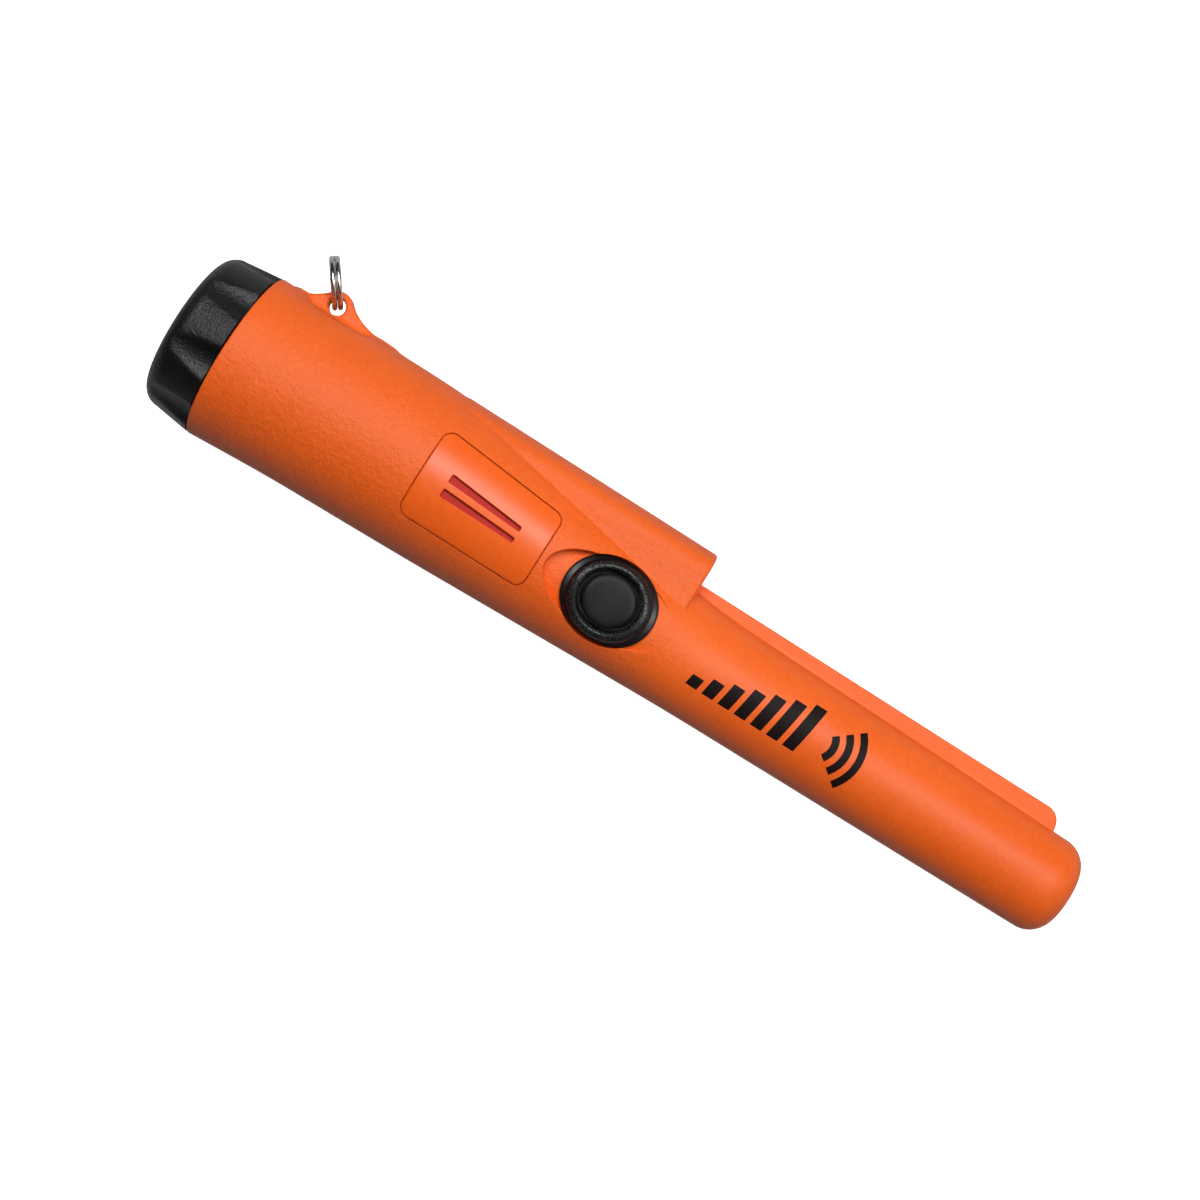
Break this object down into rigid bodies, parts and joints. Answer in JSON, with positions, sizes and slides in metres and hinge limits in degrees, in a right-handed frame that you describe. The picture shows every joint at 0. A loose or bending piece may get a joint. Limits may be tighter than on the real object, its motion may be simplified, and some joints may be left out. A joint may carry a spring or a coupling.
{
  "type": "pinpointer probe",
  "caption": "Hand-held probe that pinpoints buried metal: tapered tube with a coil in its tip, barrel grip with push button, lamp hood, blade, screw cap and lanyard ring.",
  "frame": {"origin": "centre of the flat face at the probe's tip, on the tube's axis", "axes": "+X along the tube's axis and out of the tip, +Y to the side with the lamp hood, blade and lanyard lug, +Z out through the push button"},
  "size_m": [0.229, 0.0502, 0.0394],
  "materials": {
    "housing_plastic": "fine bead-blasted orange moulding",
    "cover_plastic": "smooth satin orange moulding",
    "cap_plastic": "granular satin black moulding",
    "button_rubber": "matt black silicone, granular ring",
    "seal_rubber": "smooth black nitrile",
    "membrane": "fine dark red acoustic cloth",
    "foam": "closed-cell foam",
    "ring_steel": "bright nickel-plated spring steel",
    "plated_steel": "zinc-plated steel",
    "brass": "bright brass",
    "copper": "enamelled copper wire",
    "board": "green solder mask",
    "chip_black": "moulded epoxy",
    "ferrite": "sintered grey-black ferrite",
    "carrier_plastic": "satin dark grey nylon",
    "clear_plastic": "clear acrylic",
    "battery_skin": "printed steel jacket",
    "wire_red": "red PVC",
    "wire_black": "black PVC"
  },
  "bodies": {
    "housing": {"body_housing": "housing_plastic", "speaker_cover": "cover_plastic", "speaker_membrane": "membrane", "piezo_speaker": "plated_steel", "speaker_gasket": "foam", "button_boot": "button_rubber", "switch_body": "chip_black", "led": "clear_plastic", "led_lens": "clear_plastic", "electronics_carrier": "carrier_plastic", "circuit_board": "board", "carrier_screw_1": "plated_steel", "carrier_screw_2": "plated_steel", "board_screw_1": "plated_steel", "board_screw_2": "plated_steel", "microcontroller": "chip_black", "audio_amplifier": "chip_black", "filter_capacitor_1": "plated_steel", "filter_capacitor_2": "plated_steel", "timing_crystal": "plated_steel", "vibration_motor": "plated_steel", "coil_bobbin": "carrier_plastic", "search_coil": "copper", "ferrite_rod": "ferrite", "tip_foam": "foam", "contact_plate": "board", "positive_contact": "brass", "negative_contact": "brass", "battery_wire_black": "wire_black", "battery_wire_red": "wire_red", "speaker_wire_1": "wire_black", "speaker_wire_2": "wire_red", "lamp_wire_1": "wire_black", "lamp_wire_2": "wire_red", "motor_wire_1": "wire_black", "motor_wire_2": "wire_red", "coil_wire_1": "copper", "coil_wire_2": "copper"},
    "cap_seal": {"cap_o_ring": "seal_rubber"},
    "battery_cap": {"battery_cap": "cap_plastic", "cap_pressure_pad": "foam"},
    "battery": {"battery": "battery_skin", "battery_positive_terminal": "plated_steel", "battery_negative_terminal": "plated_steel"},
    "power_button": {"push_button": "button_rubber", "switch_plunger": "chip_black"},
    "vibration_rotor": {"motor_shaft": "plated_steel", "eccentric_weight": "brass"},
    "lanyard_ring": {"split_ring": "ring_steel"}
  },
  "joints": [
    {"name": "cap_advance", "type": "slide", "parent": "housing", "child": "cap_seal", "axis": [-1, 0, 0], "range_m": [0, 0.0101]},
    {"name": "cap_turn", "type": "hinge", "parent": "cap_seal", "child": "battery_cap", "pos_m": [-0.2163, 0.00265, 0], "axis": [-1, 0, 0], "range_deg": [0, 1800]},
    {"name": "battery_slide", "type": "slide", "parent": "housing", "child": "battery", "axis": [-1, 0, 0], "range_m": [0, 0.0101]},
    {"name": "button_press", "type": "slide", "parent": "housing", "child": "power_button", "axis": [0, 0, -1], "range_m": [0, 0.0006], "stiffness_N_per_m": 800},
    {"name": "motor_spin", "type": "hinge", "parent": "housing", "child": "vibration_rotor", "pos_m": [-0.085, 0, 0.0049], "axis": [1, 0, 0], "continuous": true},
    {"name": "ring_swing", "type": "hinge", "parent": "housing", "child": "lanyard_ring", "pos_m": [-0.2032, 0.02348, 0], "axis": [0, 0, 1], "range_deg": [-120, 50]}
  ],
  "couplings": [
    {"joint": "cap_advance", "follows": "cap_turn", "m_per_rad": 0.00031831},
    {"joint": "battery_slide", "follows": "cap_turn", "m_per_rad": 0.00031831}
  ]
}
